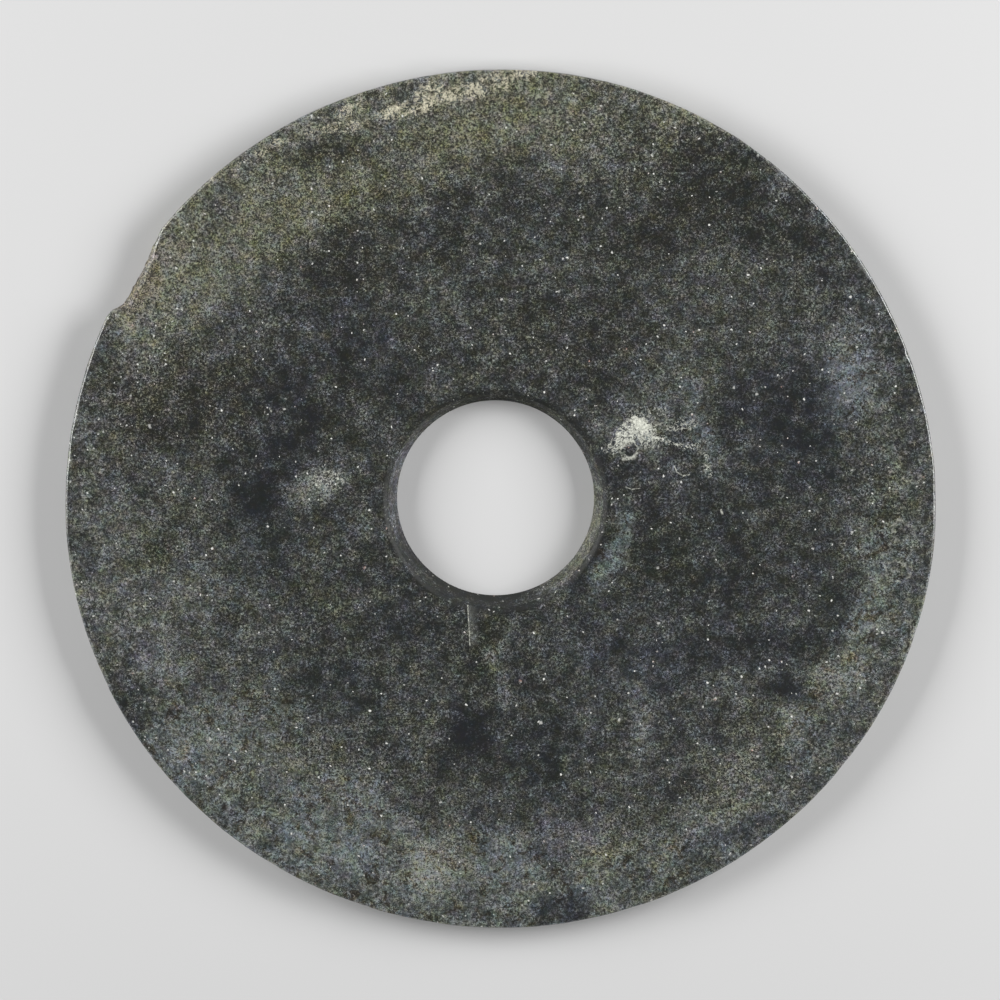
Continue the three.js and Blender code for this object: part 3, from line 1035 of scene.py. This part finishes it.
class StudioSettings(bpy.types.PropertyGroup):
    """The view, the lights and the floor."""

    lean: FloatProperty(
        name="Lean", description="How far the view leans from straight down", default=math.radians(8.0),
        subtype="ANGLE",
    )
    lens: FloatProperty(name="Lens", description="Focal length in millimetres", default=360.0, min=20.0)
    width_seen: length("Width seen", "Width of the view at the upper face", 230.1 * MM)
    floor_colour: colour("Floor", "Colour of the floor", (0.62, 0.62, 0.62))
    sky: FloatProperty(name="Sky", description="Brightness of the surroundings", default=0.12, min=0.0)


# Each soft light: name, direction in degrees anticlockwise from +X, and power in watts.
LIGHTS = (("right box", 14.0, 17.0), ("left box", 166.0, 14.0))
LIGHT_RISE = 27.0
LIGHT_DISTANCE = 1.1
LIGHT_SIZE = (0.9, 0.5)
FLOOR_HALF = 1.6
VIEW_CENTRE = (-0.17 * MM, 0.4 * MM, HIGH.z)


# ---- Operators ----------------------------------------------------------------------------------


class BI_OT_make_disc(bpy.types.Operator):
    """Make the disc's fine surface and its stone finish"""

    bl_idname = "bi_disc.make_disc"
    bl_label = "Make Disc"

    def execute(self, context):
        scene = context.scene
        grid, masks = disc_surface(scene.bi_sizes)
        disc = bpy.data.objects.new("jade_disc", mesh_from_grid("jade_disc", grid, masks))
        disc.data.materials.append(jade_material(scene.jade_look))
        scene.collection.objects.link(disc)
        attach(disc, "root")
        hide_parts(NODE)
        return {"FINISHED"}


def soft_light(name, place, aim, power):
    """A rectangular soft light at a place, turned to shine on the aim."""
    data = bpy.data.lights.new(name, "AREA")
    data.shape = "RECTANGLE"
    data.size, data.size_y = LIGHT_SIZE
    data.energy = power
    light = bpy.data.objects.new(name, data)
    light.location = place
    light.rotation_euler = (Vector(aim) - Vector(place)).to_track_quat("-Z", "Y").to_euler()
    bpy.context.scene.collection.objects.link(light)


def around(azimuth, rise, distance):
    """A place at a distance from the origin: azimuth anticlockwise from +X and rise, in degrees."""
    flat = math.cos(math.radians(rise)) * distance
    turn = math.radians(azimuth)
    return (flat * math.cos(turn), flat * math.sin(turn), math.sin(math.radians(rise)) * distance)


class BI_OT_make_studio(bpy.types.Operator):
    """Make the floor, the soft lights and the camera"""

    bl_idname = "bi_disc.make_studio"
    bl_label = "Make Studio"

    def execute(self, context):
        scene = context.scene
        studio = scene.bi_studio
        mesh = bpy.data.meshes.new("floor")
        corners = [(x * FLOOR_HALF, y * FLOOR_HALF, LOW.z) for x, y in ((-1, -1), (1, -1), (1, 1), (-1, 1))]
        mesh.from_pydata(corners, [], [(0, 1, 2, 3)])
        mesh.materials.append(plain_material("floor", studio.floor_colour, 0.9))
        floor = bpy.data.objects.new("floor", mesh)
        scene.collection.objects.link(floor)

        world = bpy.data.worlds.new("studio")
        world.use_nodes = True
        background = world.node_tree.nodes["Background"]
        background.inputs["Color"].default_value = (1.0, 1.0, 1.0, 1.0)
        background.inputs["Strength"].default_value = studio.sky
        scene.world = world

        for name, direction, power in LIGHTS:
            soft_light(name, around(direction, LIGHT_RISE, LIGHT_DISTANCE), (0.0, 0.0, HIGH.z), power)

        data = bpy.data.cameras.new("camera")
        data.lens = studio.lens
        distance = studio.width_seen * studio.lens / data.sensor_width
        camera = bpy.data.objects.new("camera", data)
        lean = studio.lean
        camera.location = Vector(VIEW_CENTRE) + distance * Vector((0.0, math.sin(lean), math.cos(lean)))
        camera.rotation_euler = (-lean, 0.0, 0.0)
        data.clip_start = 0.01
        scene.collection.objects.link(camera)
        scene.camera = camera
        scene.view_settings.view_transform = "Standard"
        return {"FINISHED"}


class BI_PT_panel(bpy.types.Panel):
    """Sizes, colours and buttons for the disc and its studio"""

    bl_label = "Bi Disc"
    bl_space_type = "VIEW_3D"
    bl_region_type = "UI"
    bl_category = "Bi Disc"

    def draw(self, context):
        layout = self.layout
        for group in (context.scene.bi_sizes, context.scene.jade_look, context.scene.bi_studio):
            box = layout.box()
            for name in group.__annotations__:
                box.prop(group, name)
        layout.operator(BI_OT_make_disc.bl_idname)
        layout.operator(BI_OT_make_studio.bl_idname)


CLASSES = (BiSizes, JadeLook, StudioSettings, BI_OT_make_disc, BI_OT_make_studio, BI_PT_panel)


def register():
    for item in CLASSES:
        bpy.utils.register_class(item)
    bpy.types.Scene.bi_sizes = PointerProperty(type=BiSizes)
    bpy.types.Scene.jade_look = PointerProperty(type=JadeLook)
    bpy.types.Scene.bi_studio = PointerProperty(type=StudioSettings)


def unregister():
    del bpy.types.Scene.bi_studio
    del bpy.types.Scene.jade_look
    del bpy.types.Scene.bi_sizes
    for item in reversed(CLASSES):
        bpy.utils.unregister_class(item)


def main():
    """Makes everything in order."""
    register()
    bpy.ops.bi_disc.make_disc()
    bpy.ops.bi_disc.make_studio()


if __name__ == "__main__":
    main()
